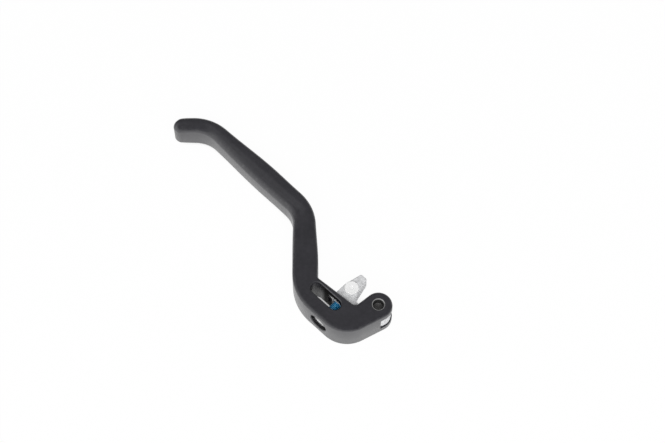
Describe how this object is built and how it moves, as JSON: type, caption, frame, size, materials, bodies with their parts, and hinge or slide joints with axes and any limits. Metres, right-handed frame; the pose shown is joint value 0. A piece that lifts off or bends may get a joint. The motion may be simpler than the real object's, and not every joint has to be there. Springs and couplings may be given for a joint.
{
  "type": "bicycle brake lever",
  "caption": "Hooked finger lever with a forked pivot end, a swinging thrust link and a reach adjusting screw behind a key hole, for a hydraulic bicycle brake.",
  "frame": {"origin": "on the pivot axis, at half the lever's thickness", "axes": "+Z along the pivot axis, -X along the finger blade towards its tip, +Y towards the handlebar; the lever lies on its side"},
  "size_m": [0.1102, 0.0312, 0.0126],
  "materials": {
    "black_coating": "satin black coating on forged aluminium",
    "bush_steel": "dark turned steel",
    "link_metal": "matte grey metal with a fine grain",
    "bright_steel": "bright turned steel",
    "screw_steel": "zinc plated steel",
    "spring_steel": "black phosphated spring steel",
    "blue_nylon": "blue thread-lock nylon"
  },
  "bodies": {
    "lever": {"lever_blade": "black_coating", "upper_bush": "bush_steel", "lower_bush": "bush_steel", "thrust_washer": "spring_steel"},
    "link": {"thrust_link": "link_metal"},
    "nut": {"trunnion_nut": "bright_steel"},
    "screw": {"adjusting_screw": "screw_steel", "locking_patch": "blue_nylon", "retaining_clip": "spring_steel"}
  },
  "joints": [
    {"name": "screw_turn", "type": "hinge", "parent": "lever", "child": "screw", "pos_m": [-0.012, -0.008, 0], "axis": [0, 1, 0], "range_deg": [-1260, 360]},
    {"name": "link_swing", "type": "hinge", "parent": "lever", "child": "link", "pos_m": [0, 0, 0], "axis": [0, 0, 1], "range_deg": [-8.35, 2.38]},
    {"name": "nut_turn", "type": "hinge", "parent": "link", "child": "nut", "pos_m": [-0.012, -0.001, 0], "axis": [0, 0, 1], "range_deg": [-2.4, 8.4]}
  ],
  "couplings": [
    {"joint": "screw_turn", "follows": "link_swing", "ratio": 150.8},
    {"joint": "nut_turn", "follows": "link_swing", "ratio": -1}
  ]
}
